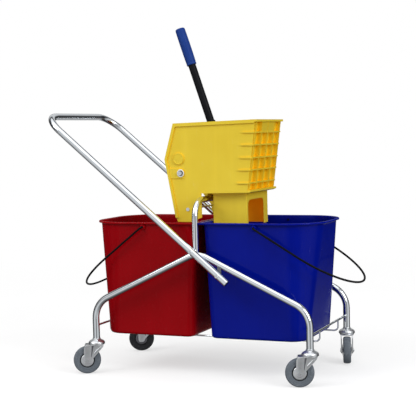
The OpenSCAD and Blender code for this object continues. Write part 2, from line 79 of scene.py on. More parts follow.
def make_camera():
    azimuth, pitch, roll = (math.radians(v) for v in (CAMERA_AZIMUTH, CAMERA_PITCH, CAMERA_ROLL))
    forward = Vector((-math.sin(azimuth) * math.cos(pitch), math.cos(azimuth) * math.cos(pitch),
                      -math.sin(pitch)))
    level = Vector((math.cos(azimuth), math.sin(azimuth), 0))
    up = level.cross(forward)
    right = math.cos(roll) * level + math.sin(roll) * up
    top = -math.sin(roll) * level + math.cos(roll) * up
    data = bpy.data.cameras.new("camera")
    data.sensor_width = 36.0
    data.lens = CAMERA_LENS
    data.clip_start, data.clip_end = 0.1, 60
    cam = bpy.data.objects.new("camera", data)
    scene.collection.objects.link(cam)
    rows = [(right[i], top[i], -forward[i], CAMERA_AT[i]) for i in range(3)]
    cam.matrix_world = Matrix((*rows, (0, 0, 0, 1)))
    scene.camera = cam


make_camera()

# ------------------------------------------------------------------ materials

class Shader:
    """A node material built a line at a time."""

    def __init__(self, name):
        self.mat = bpy.data.materials.new(name)
        self.mat.use_nodes = True
        self.tree = self.mat.node_tree
        self.bsdf = self.tree.nodes["Principled BSDF"]
        self.coord = self.node("ShaderNodeTexCoord").outputs["Object"]

    def node(self, kind, **values):
        n = self.tree.nodes.new(kind)
        for k, v in values.items():
            if hasattr(n, k):
                setattr(n, k, v)
            else:
                n.inputs[k.replace("_", " ")].default_value = v
        return n

    def link(self, a, b):
        self.tree.links.new(a, b)

    def stretched(self, scale):
        m = self.node("ShaderNodeMapping")
        m.inputs["Scale"].default_value = scale
        self.link(self.coord, m.inputs["Vector"])
        return m.outputs["Vector"]

    def noise(self, scale, detail=3.0, rough=0.5, vector=None):
        n = self.node("ShaderNodeTexNoise", Scale=scale, Detail=detail, Roughness=rough)
        self.link(vector or self.coord, n.inputs["Vector"])
        return n.outputs["Fac"]

    def ramp(self, fac, *stops):
        r = self.node("ShaderNodeValToRGB")
        while len(r.color_ramp.elements) < len(stops):
            r.color_ramp.elements.new(0.5)
        for e, (p, c) in zip(r.color_ramp.elements, stops):
            e.position, e.color = p, (*c, 1) if len(c) == 3 else c
        self.link(fac, r.inputs["Fac"])
        return r.outputs["Color"]

    def spread(self, fac, low, high, start=0.35, end=0.65):
        r = self.node("ShaderNodeMapRange")
        for k, v in (("From Min", start), ("From Max", end), ("To Min", low), ("To Max", high)):
            r.inputs[k].default_value = v
        self.link(fac, r.inputs["Value"])
        return r.outputs["Result"]

    def mix(self, fac, a, b, kind="MIX"):
        m = self.node("ShaderNodeMix", data_type="RGBA", blend_type=kind)
        for socket, v in ((m.inputs[0], fac), (m.inputs[6], a), (m.inputs[7], b)):
            if isinstance(v, bpy.types.NodeSocket):
                self.link(v, socket)
            elif isinstance(v, (int, float)):
                socket.default_value = v
            else:
                socket.default_value = (*v, 1)
        return m.outputs[2]

    def math(self, kind, a, b):
        m = self.node("ShaderNodeMath", operation=kind)
        for socket, v in zip(m.inputs, (a, b)):
            if isinstance(v, bpy.types.NodeSocket):
                self.link(v, socket)
            else:
                socket.default_value = v
        return m.outputs[0]

    def bump(self, height, distance, strength=1.0):
        b = self.node("ShaderNodeBump", Strength=strength, Distance=distance)
        self.link(height, b.inputs["Height"])
        self.link(b.outputs["Normal"], self.bsdf.inputs["Normal"])

    def set(self, **values):
        for k, v in values.items():
            socket = self.bsdf.inputs[k.replace("_", " ")]
            if isinstance(v, bpy.types.NodeSocket):
                self.link(v, socket)
            else:
                socket.default_value = (*v, 1) if isinstance(v, tuple) and len(v) == 3 else v
        return self


def shade(c, k):
    return tuple(min(1.0, v * k) for v in c)


def plastic(name, colour, deep, gloss=0.28, spec=0.22, painted_hollow_shade=None, reach=0.03, worn=0.10, glow=None):
    """Moulded polypropylene: slight mottling, flow streaks, a fine grain and soft scuffs.
    The hollow colour is painted shade and bounce light: ambient occlusion lays it into hollows, standing in for
    the shade there and the light that has bounced off more plastic."""
    s = Shader(name)
    cloud = s.noise(5.0, 3, 0.55)
    streak = s.noise(1.0, 4, 0.6, s.stretched((40, 40, 3)))
    base = s.ramp(cloud, (0.3, deep), (0.7, colour))
    base = s.mix(s.spread(streak, 0.0, 0.16, 0.45, 0.75), base, shade(colour, 1.18))
    scuff = s.noise(1.0, 6, 0.7, s.stretched((90, 90, 14)))
    base = s.mix(s.spread(scuff, 0.0, worn, 0.62, 0.74), base, tuple(0.55 + 0.45 * v for v in colour))
    # painted shade: where ambient occlusion finds a hollow, the base turns to the painted hollow colour
    if painted_hollow_shade:
        ao = s.node("ShaderNodeAmbientOcclusion", samples=6, Distance=reach)
        base = s.mix(s.spread(ao.outputs["AO"], 0.9, 0.0, 0.25, 0.92), base, painted_hollow_shade)
    rough = s.math("ADD", s.spread(s.noise(38, 4, 0.6), gloss - 0.05, gloss + 0.07),
                   s.spread(scuff, 0.0, 0.12, 0.6, 0.75))
    s.set(Base_Color=base, Roughness=rough, IOR=1.49, Specular_IOR_Level=spec)
    if glow:
        s.set(Emission_Color=glow, Emission_Strength=1.0)
    grain = s.noise(900, 2, 0.5)
    wave = s.noise(16, 2, 0.5)
    s.bump(s.math("ADD", s.math("MULTIPLY", grain, 0.05), wave), 0.0011, 0.55)
    return s.mat


def metal(name, colour, low, high, tint=None, wave=0.0002, spangle=0.0):
    """Plated steel: cloudy reflection, fine polishing lines and faint water marks."""
    s = Shader(name)
    cloud = s.noise(22, 5, 0.6)
    base = s.ramp(cloud, (0.25, shade(colour, 0.9)), (0.75, colour))
    if tint:
        base = s.mix(s.spread(s.noise(9, 3, 0.5), 0.0, 0.5, 0.5, 0.75), base, tint)
    if spangle:
        v = s.node("ShaderNodeTexVoronoi", Scale=260.0)
        s.link(s.coord, v.inputs["Vector"])
        base = s.mix(spangle, base, v.outputs["Color"], "OVERLAY")
    fine = s.noise(1.0, 3, 0.6, s.stretched((600, 600, 600)))
    rough = s.math("ADD", s.spread(cloud, low, high, 0.3, 0.7), s.spread(fine, 0.0, 0.05))
    s.set(Base_Color=base, Roughness=rough, Metallic=1.0)
    s.bump(s.math("ADD", s.noise(14, 2, 0.5), s.math("MULTIPLY", fine, 0.04)), wave, 0.5)
    return s.mat


def rubber(name, colour, deep, rough=0.72, dusty=0.22, spec=0.5):
    s = Shader(name)
    base = s.ramp(s.noise(30, 5, 0.65), (0.3, deep), (0.72, colour))
    dust = s.noise(120, 4, 0.7)
    base = s.mix(s.spread(dust, 0.0, dusty, 0.55, 0.75), base, tuple(0.35 + 0.5 * v for v in colour))
    s.set(Base_Color=base, Roughness=s.spread(s.noise(70, 3, 0.6), rough - 0.08, rough + 0.1),
          Specular_IOR_Level=spec)
    s.bump(s.noise(1400, 3, 0.6), 0.00012, 0.7)
    return s.mat


def enamel(name, colour, deep, rough=0.3, spec=0.12):
    """Stove enamel on wire or tube: faint orange peel and small dull patches."""
    s = Shader(name)
    base = s.ramp(s.noise(45, 4, 0.6), (0.3, deep), (0.75, colour))
    s.set(Base_Color=base, Roughness=s.spread(s.noise(60, 4, 0.6), rough - 0.06, rough + 0.12),
          Specular_IOR_Level=spec)
    s.bump(s.noise(420, 2, 0.5), 0.00018, 0.6)
    return s.mat


RED, RED_DEEP = (0.305, 0.0010, 0.004), (0.270, 0.0007, 0.0028)
BLUE, BLUE_DEEP = (0.0006, 0.007, 0.245), (0.0004, 0.005, 0.215)
YELLOW, YELLOW_DEEP = (0.80, 0.60, 0.045), (0.74, 0.53, 0.03)
MAT = {
    "chrome": metal("chrome_plate", (0.80, 0.84, 0.88), 0.03, 0.085, wave=0.00008),
    "zinc": metal("zinc_plate", (0.70, 0.72, 0.74), 0.24, 0.38, tint=(0.66, 0.69, 0.76),
                  spangle=0.06),
    "bolt": metal("zinc_bolt", (0.62, 0.63, 0.65), 0.22, 0.36, spangle=0.05),
    "red": plastic("red_polypropylene", RED, RED_DEEP, 0.22, 0.06, worn=0.015),
    "blue": plastic("blue_polypropylene", BLUE, BLUE_DEEP, 0.15, 0.08, worn=0.015),
    # painted shade and bounce light: the yellow's hollows turn orange by ambient occlusion
    "yellow": plastic("yellow_polypropylene", YELLOW, YELLOW_DEEP, 0.34, 0.2, (1.0, 0.60, 0.002)),
    # painted light and shade: a deeper orange with a faint emission glow for the chute's inside, though nothing
    # there is a lamp
    "yellow_painted_glow": plastic("yellow_polypropylene_painted_glow", (0.80, 0.42, 0.02), (0.74, 0.36, 0.015),
                          0.34, 0.1, glow=(0.16, 0.045, 0.0)),
    "white": plastic("white_nylon", (0.82, 0.82, 0.80), (0.74, 0.74, 0.71), 0.4),
    "hub": plastic("hub_nylon", (0.035, 0.037, 0.04), (0.025, 0.027, 0.03), 0.45),
    # painted shade: a near-black rubber for a caster and a ring drawn as lying in shadow
    "painted_shade_rubber": rubber("painted_shade_dark_rubber", (0.030, 0.033, 0.038), (0.020, 0.022, 0.026), dusty=0.1,
                        spec=0.3),
    # painted shade: a dark zinc for pieces drawn as lying in shadow
    "shadow_zinc": metal("painted_shadow_zinc", (0.16, 0.16, 0.18), 0.35, 0.5),
    "tyre": rubber("grey_rubber", (0.135, 0.158, 0.185), (0.105, 0.124, 0.148)),
    "wire": enamel("black_wire_coat", (0.007, 0.007, 0.008), (0.004, 0.004, 0.005), 0.38, 0.06),
    "black": enamel("black_tube_enamel", (0.012, 0.012, 0.015), (0.007, 0.007, 0.009), 0.34, 0.05),
    "grip": rubber("blue_grip", (0.016, 0.052, 0.25), (0.010, 0.036, 0.20), 0.45, 0.03, 0.08),
}


def paint(obj, key):
    obj.data.materials.clear()
    obj.data.materials.append(MAT[key])


# ------------------------------------------------------------------ CAD nodes that stay

def smooth(obj, angle=35):
    for p in obj.data.polygons:
        p.use_smooth = True
    with bpy.context.temp_override(object=obj, active_object=obj, selected_objects=[obj],
                                   selected_editable_objects=[obj]):
        bpy.ops.object.shade_smooth_by_angle(angle=math.radians(angle))


SLOT_LOOK = {"chromed_tube": "chrome", "zinc_steel": "zinc", "hub_plastic": "hub",
             "grey_rubber": "tyre", "red_plastic": "red", "blue_plastic": "blue",
             "yellow_plastic": "yellow", "white_plastic": "white", "black_enamel": "black",
             "blue_rubber": "grip"}
for part in frame["record"]["subparts"]:
    paint(NODES[part["node"]], SLOT_LOOK[part["material_slot"]])
for n in ("bail_red", "bail_blue"):
    paint(NODES[n], "wire")

# ------------------------------------------------------------------ mesh helpers

def new_piece(name, bm, key, body, slot_name, *nodes, angle=35):
    bmesh.ops.recalc_face_normals(bm, faces=bm.faces)
    mesh = bpy.data.meshes.new(name)
    bm.to_mesh(mesh)
    bm.free()
    obj = bpy.data.objects.new(name, mesh)
    scene.collection.objects.link(obj)
    paint(obj, key)
    smooth(obj, angle)
    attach(obj, body)
    if nodes:
        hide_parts(*nodes)
    return obj


def in_metres(profile):
    return [(r * mm, h * mm) for r, h in profile]


def both_halves(half):
    """A (radius, height) outline and its mirror image below height 0."""
    return half + [(r, -h) for r, h in reversed(half)]


def bucket_loop(u0, u1, half, inner_r, outer_r):
    """Points (u, y) round a bucket's plan, from the outer end; u runs out from between the buckets."""
    pts = []
    corners = ((u1 - outer_r, half - outer_r, outer_r, 20), (u0 + inner_r, half - inner_r, inner_r, 9),
               (u0 + inner_r, inner_r - half, inner_r, 9), (u1 - outer_r, outer_r - half, outer_r, 20))
    for k, (cu, cy, r, n) in enumerate(corners):
        for i in range(n + 1):
            a = math.radians(90 * (k + i / n))
            pts.append(Vector((cu + r * math.cos(a), cy + r * math.sin(a))))
        nu, ny, nr, _ = corners[(k + 1) % 4]
        a = math.radians(90 * (k + 1))
        end = Vector((nu + nr * math.cos(a), ny + nr * math.sin(a)))
        start = pts[-1]
        pts += [start.lerp(end, i / 15) for i in range(1, 15)]
    return pts


def skin(bm, loops):
    """Joins closed loops of points into a tube with both ends capped."""
    rows = [[bm.verts.new(p) for p in loop] for loop in loops]
    n = len(rows[0])
    for a, b in zip(rows, rows[1:]):
        for i in range(n):
            bm.faces.new((a[i], a[(i + 1) % n], b[(i + 1) % n], b[i]))
    bm.faces.new(list(reversed(rows[0])))
    bm.faces.new(rows[-1])


def lathe(bm, profile, axis, origin, steps=48, closed=False):
    """Turns (radius, height) points about an axis; radius 0 makes a pole."""
    axis = Vector(axis).normalized()
    side = axis.orthogonal().normalized()
    other = axis.cross(side)
    rings = []
    for r, h in profile:
        c = Vector(origin) + axis * h
        if r < 1e-7:
            rings.append([bm.verts.new(c)])
        else:
            rings.append([bm.verts.new(c + r * (math.cos(2 * math.pi * i / steps) * side
                          + math.sin(2 * math.pi * i / steps) * other)) for i in range(steps)])
    pairs = list(zip(rings, rings[1:]))
    if closed:
        pairs.append((rings[-1], rings[0]))
    for a, b in pairs:
        for i in range(steps):
            j = (i + 1) % steps
            if len(a) == 1 and len(b) == 1:
                continue
            if len(a) == 1:
                bm.faces.new((a[0], b[i], b[j]))
            elif len(b) == 1:
                bm.faces.new((a[i], a[j], b[0]))
            else:
                bm.faces.new((a[i], a[j], b[j], b[i]))


# ------------------------------------------------------------------ buckets

BUCKET_LO, BUCKET_HI = box_mm("bucket_blue")
BASE_Z, RIM_Z, RIM_Y = BUCKET_LO.z, BUCKET_HI.z, BUCKET_HI.y
MID_X = (BUCKET_LO.x + box_mm("bucket_red")[1].x) / 2
EAR_U = (pivot("bail_blue_swing").x - pivot("bail_red_swing").x) / 2 / mm
EAR_Z = pivot("bail_blue_swing").z
WALL_TOP, WALL_LOW = RIM_Z - 0.5, BASE_Z + 10
WALL, BOW = 2.5, 1.3


def make_bucket(colour, key):
    node = "bucket_" + colour
    side = 1 if colour == "blue" else -1

    def wall(z, inset):
        """The body's plan at a height: u0, u1, half width, inner and outer corner radii, z, inward bow."""
        t = (WALL_TOP - z) / (WALL_TOP - WALL_LOW)
        bow = BOW * math.sin(math.pi * min(max(t, 0), 1))
        return (21 + 12 * t + inset, 432 - 47 * t - inset, RIM_Y - 10 - 10 * t - inset,
                18 + 10 * t - inset, 130 - 70 * t - inset, z, bow)

    def lip(inset, z):
        """The rim's plan; where it has turned in past the body's outside it is wider under the hoop."""
        wide = 10 if inset > 5 else 0
        return (1 + inset + wide, 442 - inset, RIM_Y - inset, 18 - inset + wide, 140 - inset, z, 0)

    def under(section, off, z):
        """A level ring of the base, off millimetres inside the given section."""
        u0, u1, half, r0, r1 = section[:5]
        return (u0 + off, u1 - off, half - off, max(r0 - off, 4), max(r1 - off, 4), z, 0)

    base = wall(WALL_LOW, 0)
    loops = []
    for off, up in ((150, 3.6), (110, 3.6), (60, 3.6), (22, 3.6), (19.4, 3.3), (17.6, 1.8), (15.6, 0.3),
                    (13.8, 0), (9.6, 0), (6.2, 0.8), (3.2, 2.6), (1.1, 5.6), (0.15, 8.6)):
        loops.append(under(base, off, BASE_Z + up))
    for up in (12, 27, 52, 87, 127, 172, 217, 262, 302, 337, 364, 384, 397, 405.4):
        loops.append(wall(BASE_Z + up, 0))
    loops += [lip(off, RIM_Z - down) for off, down in (
        (9.6, 6.0), (8.4, 5.1), (6.6, 4.8), (3.4, 4.7), (2.5, 5.1), (2.2, 5.9), (1.9, 6.5), (1.0, 6.7),
        (0.3, 6.2), (0.0, 5.0), (0.0, 2.8), (0.35, 1.3), (1.3, 0.4), (2.8, 0.0), (7.6, 0.2), (10.4, 0.8),
        (11.9, 2.3), (12.4, 4.6))]
    loops += [wall(BASE_Z + up, WALL) for up in (400, 387, 367, 337, 302, 262, 217, 172, 127, 87, 52, 29)]
    floor = wall(BASE_Z + 20, WALL)
    for off, up in ((0.4, 16), (2.0, 12), (4.8, 9), (8.6, 7), (13, 6.1), (60, 6), (110, 6), (150, 6)):
        loops.append(under(floor, off, BASE_Z + up))
    rows = []
    for u0, u1, half, r0, r1, z, bow in loops:
        row = []
        for u, y in bucket_loop(u0, u1, half, r0, r1):
            if bow and abs(y) > half - 0.01:
                mid, reach = (u0 + r0 + u1 - r1) / 2, (u1 - r1 - u0 - r0) / 2
                y -= math.copysign(bow * max(0.0, 1 - ((u - mid) / reach) ** 2), y)
            row.append(Vector(((MID_X + side * u) * mm, y * mm, z * mm)))
        rows.append(row)
    bm = bmesh.new()
    skin(bm, rows)
    new_piece("shell_" + colour, bm, key, node, colour + "_plastic", node, angle=40)

    # ears: a turned boss with a collar and a rounded mouth, sunk a little into the wall
    wall_y = RIM_Y - 10.9
    for s in (-1, 1):
        bm = bmesh.new()
        profile = [(0.0, 2.2), (4.0, 2.2), (4.0, 8.4), (4.7, 9.0), (8.2, 9.0), (9.3, 8.3), (9.9, 6.9),
                   (10.6, 0.9), (11.6, -0.4), (0.0, -0.4)]
        lathe(bm, in_metres(profile), (0, s, 0),
              ((MID_X + side * EAR_U) * mm, s * wall_y * mm, EAR_Z), 40)
        new_piece(f"ear_{colour}_{side_name(s)}", bm, key, node, colour + "_plastic")


make_bucket("red", "red")
make_bucket("blue", "blue")

# ------------------------------------------------------------------ casters

TRAIL, FORK_IN, CHEEK, AXLE_Z, CROWN_Z = 36, 18.5, 2.5, 50, 107.5
FORK_OUT = FORK_IN + CHEEK


def leg_at(corner):
    return pivot("caster_swivel_" + corner) * Vector((1, 1, 0))


def caster_matrix(corner):
    """Millimetres from the axle (x = 0) towards the swivel axis (x = TRAIL), to metres in the row frame."""
    axle = JOINTS["wheel_roll_" + corner]["axis"]
    turn = math.atan2(-axle[0], axle[1])
    return (Matrix.Translation(leg_at(corner)) @ Matrix.Scale(mm, 4) @ Matrix.Rotation(turn, 4, "Z")
            @ Matrix.Translation((TRAIL, 0, 0)) @ Matrix.Scale(-1, 4, (1, 0, 0)))


def fillet(points, radii, steps=5):
    """Rounds the corners of a closed outline, with a radius for each corner."""
    out, n = [], len(points)
    for i in range(n):
        a, q, b = (Vector(points[(i + k) % n]) for k in (-1, 0, 1))
        d0, d1 = a - q, b - q
        cut = min(radii[i], d0.length * 0.48, d1.length * 0.48)
        if cut < 0.05:
            out.append(q)
            continue
        u, v = q + d0.normalized() * cut, q + d1.normalized() * cut
        for k in range(steps + 1):
            t = k / steps
            out.append((1 - t) ** 2 * u + 2 * t * (1 - t) * q + t * t * v)
    return out


def prism(bm, outline, place, depth, edge=0.5, steps=2):
    """A plate with eased edges: outline (u, v) drawn through place(u, v, w) for w from 0 to depth."""
    pts = [Vector(p) for p in outline]
    n = len(pts)
    area = sum(pts[i].x * pts[(i + 1) % n].y - pts[(i + 1) % n].x * pts[i].y for i in range(n))
    if area < 0:
        pts.reverse()
    normals = []
    for i in range(n):
        d = (pts[(i + 1) % n] - pts[i - 1]).normalized()
        normals.append(Vector((d.y, -d.x)))
    rows = []
    for k in range(steps + 1):
        a = math.radians(90 * k / steps)
        rows.append((edge * (1 - math.sin(a)), edge * (1 - math.cos(a))))
    rows += [(i, depth - w) for i, w in reversed(rows)]
    loops = [[place(*(p - nrm * inset), w) for p, nrm in zip(pts, normals)] for inset, w in rows]
    skin(bm, loops)


def make_caster(corner):
    m = caster_matrix(corner)
    body = "swivel_" + corner
    # fork: crown plate, two cheeks with a raised strip, a pressed rib on the gusset
    bm = bmesh.new()
    crown = fillet([(-6, -FORK_OUT), (TRAIL, -28), (TRAIL + 20, -21), (TRAIL + 28, 0), (TRAIL + 20, 21),
                    (TRAIL, 28), (-6, FORK_OUT)], (1.5, 14, 12, 14, 12, 14, 1.5))
    prism(bm, crown, lambda u, v, w: m @ Vector((u, v, CROWN_Z - 3.5 + w)), 3.5, 0.7)
    cheek = fillet([(-6, CROWN_Z - 0.6), (TRAIL + 25, CROWN_Z - 0.6), (TRAIL + 23, 99), (29, 65),
                    (14.5, 50), (10, 38.5), (0, 36.6), (-10, 38.5), (-12.5, 50), (-11, 95)],
                   (2, 2, 6, 10, 7, 7, 7, 7, 9, 5), 4)
    strip = fillet([(-7, CROWN_Z - 3), (17, CROWN_Z - 3), (13.2, 60), (12.4, 46), (8, 39.6), (0, 38),
                    (-8, 39.6), (-11, 47), (-9.2, 95)], (2, 3, 6, 6, 6, 6, 6, 6, 3), 4)
    for s in (-1, 1):
        prism(bm, cheek, lambda u, v, w: m @ Vector((u, s * (FORK_IN + w), v)), CHEEK, 0.6)
        prism(bm, strip, lambda u, v, w: m @ Vector((u, s * (FORK_OUT - 0.3 + w), v)), 2.0, 0.8, 3)
        # rib: a half-round ridge from under the crown's tip down to the strip
        a, b = Vector((TRAIL + 15, 100)), Vector((23, 71))
        along = (b - a).normalized()
        across = Vector((-along.y, along.x))
        loops = []
        for t, k in ((0, 0.05), (0.08, 0.75), (0.2, 1), (0.8, 1), (0.92, 0.75), (1, 0.05)):
            c = a.lerp(b, t)
            ring = []
            for i in range(9):
                g = math.pi * i / 8
                p = c + across * 3.4 * k * math.cos(g)
                ring.append(m @ Vector((p.x, s * (FORK_OUT - 0.2 + 1.9 * k * math.sin(g)), p.y)))
            loops.append(ring)
        skin(bm, loops)
    # painted shade: a thin dark sheet on each cheek where the groove between the strip and the rib lies in shade
    groove = fillet([(17.6, CROWN_Z - 3.6), (24.5, CROWN_Z - 3.6), (16.4, 64), (13.9, 60)],
                    (1.5, 2, 1.5, 1))
    dark = bmesh.new()
    for s in (-1, 1):
        prism(dark, groove, lambda u, v, w: m @ Vector((u, s * (FORK_OUT - 0.2 + w), v)), 0.45, 0.15)
    new_piece("fork_groove_shade_" + corner, dark, "shadow_zinc", body, "zinc_steel", angle=40)
    new_piece("fork_shell_" + corner, bm, "zinc", body, "zinc_steel", "fork_" + corner, angle=40)

    # swivel cap over the bearing: a pressed dish with a rolled rim, on the fixed leg
    bm = bmesh.new()
    dish = [(0, 127.6), (12.9, 127.6), (14.4, 126.4), (17.5, 124.0), (22.5, 121.2), (26.8, 118.4),
            (29.2, 115.2), (30.0, 112.4), (29.6, 109.8), (28.4, 108.4), (26.4, 108.1), (24.0, 108.6),
            (0, 108.6)]
    lathe(bm, in_metres(dish), (0, 0, 1), leg_at(corner), 56)
    new_piece("swivel_cap_" + corner, bm, "zinc", "frame", "zinc_steel", angle=50)
    # ball race showing between cap and fork, turning with the fork
    bm = bmesh.new()
    race = [(0, 107.9), (21.5, 107.9), (22.3, 107.6), (22.3, 106.9), (0, 106.9)]
    lathe(bm, in_metres(race), (0, 0, 1), leg_at(corner), 48)
    new_piece("race_" + corner, bm, "bolt", body, "zinc_steel", angle=40)

    axis = (m.to_3x3() @ Vector((0, 1, 0))).normalized()
    centre = m @ Vector((0, 0, AXLE_Z))
    wheel = "wheel_" + corner
    # painted shade: the rear left caster's rubber and covers are darker than the others', as if in the buckets'
    # shadow
    tyre_key, cover_key = ("painted_shade_rubber", "shadow_zinc") if corner == "rear_left" else ("tyre", "zinc")
    # tyre: crowned tread, rounded shoulders and three low rings on each side wall
    tread = [(27.05, 6.0), (27.05, 13.2), (27.6, 13.9), (29.2, 14.0), (30.2, 13.7), (31.4, 13.6),
             (32.0, 14.15), (33.2, 14.2), (33.8, 13.7), (37.2, 13.9), (37.8, 14.45), (39.2, 14.5),
             (39.8, 13.95), (42.6, 13.9), (43.3, 14.3), (44.6, 14.1), (46.6, 13.1), (48.2, 11.2),
             (49.2, 8.6), (49.75, 5.0), (49.95, 1.5)]
    bm = bmesh.new()
    lathe(bm, in_metres(both_halves(tread)), axis, centre, 96, closed=True)
    new_piece("tyre_rubber_" + corner, bm, tyre_key, wheel, "grey_rubber", "tyre_" + corner, angle=50)
    # hub: dished nylon, thick at the axle and at the seat of the tyre
    dished = [(4.1, 15.4), (9.2, 15.4), (10.6, 14.6), (11.2, 12.6), (12.4, 10.8), (20.5, 9.6),
              (23.5, 11.0), (25.2, 12.4), (26.6, 12.6), (26.95, 11.8), (26.95, 5.9)]
    bm = bmesh.new()
    lathe(bm, in_metres(both_halves(dished)), axis, centre, 72, closed=True)
    new_piece("hub_nylon_" + corner, bm, "hub", wheel, "hub_plastic", "wheel_hub_" + corner, angle=50)
    # pressed dust covers, between wheel and cheeks
    disc = [(4.1, 18.35), (12.5, 18.3), (14.0, 17.9), (16.2, 17.5), (20.0, 17.2), (22.2, 16.6),
            (22.9, 15.8), (22.5, 15.75), (4.1, 15.9)]
    for s in (-1, 1):
        bm = bmesh.new()
        lathe(bm, in_metres(disc), axis * s, centre, 56, closed=True)
        new_piece(f"dust_cover_{corner}_{'a' if s > 0 else 'b'}", bm, cover_key, body, "zinc_steel",
                  "dust_covers_" + corner, angle=45)


for corner in CORNERS:
    make_caster(corner)

# ------------------------------------------------------------------ wires, springs, lever

def tube_along(bm, path, radius, steps):
    """A round wire along a list of points."""
    n = len(path)
    tangent = [(path[min(i + 1, n - 1)] - path[max(i - 1, 0)]).normalized() for i in range(n)]
    u = tangent[0].orthogonal().normalized()
    loops = []
    for i in range(n):
        u = (u - tangent[i] * u.dot(tangent[i])).normalized()
        v = tangent[i].cross(u)
        turns = [2 * math.pi * k / steps for k in range(steps)]
        loops.append([path[i] + radius * (math.cos(a) * u + math.sin(a) * v) for a in turns])
    skin(bm, loops)


def hook(centre, radius, towards, across):
    """An open ring of 300 degrees, its gap on the side away from towards."""
    bends = [math.radians(-150 + 300 * i / 16) for i in range(17)]
    return [centre + radius * (math.cos(a + math.pi) * towards + math.sin(a) * across) for a in bends]


ROD = sum(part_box("foot_rod"), Vector()) / 2
TAIL = Vector((-0.118, 0, 0.716))
SPRING_Y = 0.124
COILS_AT = 13 * mm


def make_spring(side):
    """Extension spring with a hook round the foot rod and one round the yoke's tail."""
    along = (TAIL - ROD).normalized()
    across = Vector((along.z, 0, -along.x))
    out = Vector((0, side, 0))
    low, high = ROD + out * SPRING_Y, TAIL + out * SPRING_Y
    wire, mean, pitch = 0.9 * mm, 3.1 * mm, 1.95 * mm
    span = (high - low).length
    start, end = COILS_AT, span - COILS_AT
    turns = round((end - start) / pitch)
    path = hook(low, 4.1 * mm, along, across)
    steps = turns * 10
    for i in range(steps + 1):
        t = i / steps
        a = 2 * math.pi * turns * t
        path.append(low + along * (start + (end - start) * t)
                    + mean * (math.sin(a) * across + math.cos(a) * out))
    path += hook(high, 3.7 * mm, -along, across)
    bm = bmesh.new()
    tube_along(bm, path, wire, 6)
    bmesh.ops.recalc_face_normals(bm, faces=bm.faces)
    mesh = bpy.data.meshes.new("spring")
    bm.to_mesh(mesh)
    bm.free()
    obj = bpy.data.objects.new("spring_" + side_name(side), mesh)
    scene.collection.objects.link(obj)
    paint(obj, "bolt")
    smooth(obj, 60)
    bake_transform(obj)
    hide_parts("return_springs")


make_spring(1)
make_spring(-1)

LEVER_FOOT = Vector((-0.014, 0, 0.862))
LEAN = math.radians(18.6)
LEVER_UP = Vector((-math.sin(LEAN), 0, math.cos(LEAN)))
LEVER_TOP = 1.252
LEVER_LEN = (LEVER_TOP - LEVER_FOOT.z) / math.cos(LEAN)
LEVER_R, GRIP_LEN = 14 * mm, 142 * mm


def make_lever():
    bm = bmesh.new()
    top = LEVER_LEN - 5.8 * mm
    outline = [(0, 12.2 * mm), (LEVER_R, 12.2 * mm), (LEVER_R, top), (0, top)]
    lathe(bm, outline, LEVER_UP, LEVER_FOOT, 64)
    new_piece("lever_enamel", bm, "black", "press_lever", "black_enamel", "lever_tube")
    # grip: a moulded sleeve, a little fuller in the middle, with soft edges and a low end collar
    base = LEVER_LEN - GRIP_LEN
    shape = [(14.05, 0.2), (16.4, 0.2), (17.6, 0.9), (18.1, 2.2), (18.1, 6.0), (17.7, 7.0), (17.7, 8.6),
             (18.0, 10.0), (18.5, 40.0), (18.7, 75.0), (18.5, 112.0), (18.2, 128.0), (18.0, 136.0),
             (17.3, 139.4), (15.9, 141.2), (13.9, 142.0), (0, 142.0)]
    bm = bmesh.new()
    lathe(bm, [(r * mm, base + h * mm) for r, h in shape], LEVER_UP, LEVER_FOOT, 72)
    new_piece("grip_sleeve", bm, "grip", "press_lever", "blue_rubber", "lever_grip", angle=50)


make_lever()


def ring_bead(name, centre, axis, radius, wire, body, slot_name, key="zinc", ripple=14):
    """A weld bead: a rippled ring round a joint."""
    axis = Vector(axis).normalized()
    side = axis.orthogonal().normalized()
    other = axis.cross(side)
    steps = 64
    loops = []
    for i in range(steps):
        a = 2 * math.pi * i / steps
        d = math.cos(a) * side + math.sin(a) * other
        w = wire * (1 + 0.16 * math.sin(ripple * a))
        c = Vector(centre) + radius * d
        loops.append([c + w * (math.cos(2 * math.pi * k / 8) * d + math.sin(2 * math.pi * k / 8) * axis)
                      for k in range(8)])
    bm = bmesh.new()
    rows = [[bm.verts.new(p) for p in loop] for loop in loops]
    for a, b in zip(rows, rows[1:] + rows[:1]):
        for k in range(8):
            bm.faces.new((a[k], a[(k + 1) % 8], b[(k + 1) % 8], b[k]))
    return new_piece(name, bm, key, body, slot_name, angle=70)


ROD_WELD_Y, LEG_WELD_Z = 0.2133, 0.1285
for end in ("rear", "front"):
    rod = sum(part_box("end_rod_" + end), Vector()) / 2
    for s in (-1, 1):
        leg = leg_at(f"{end}_{side_name(s)}")
        mark = ("f" if end == "front" else "b") + side_name(s)[0]
        ring_bead("rod_weld_" + mark, (rod.x, s * ROD_WELD_Y, rod.z), (0, 1, 0), 4.4 * mm, 1.5 * mm,
                  "frame", "chromed_tube")
        ring_bead("leg_weld_" + mark, (leg.x, leg.y, LEG_WELD_Z), (0, 0, 1), 13.0 * mm, 1.3 * mm,
                  "frame", "chromed_tube", ripple=22)


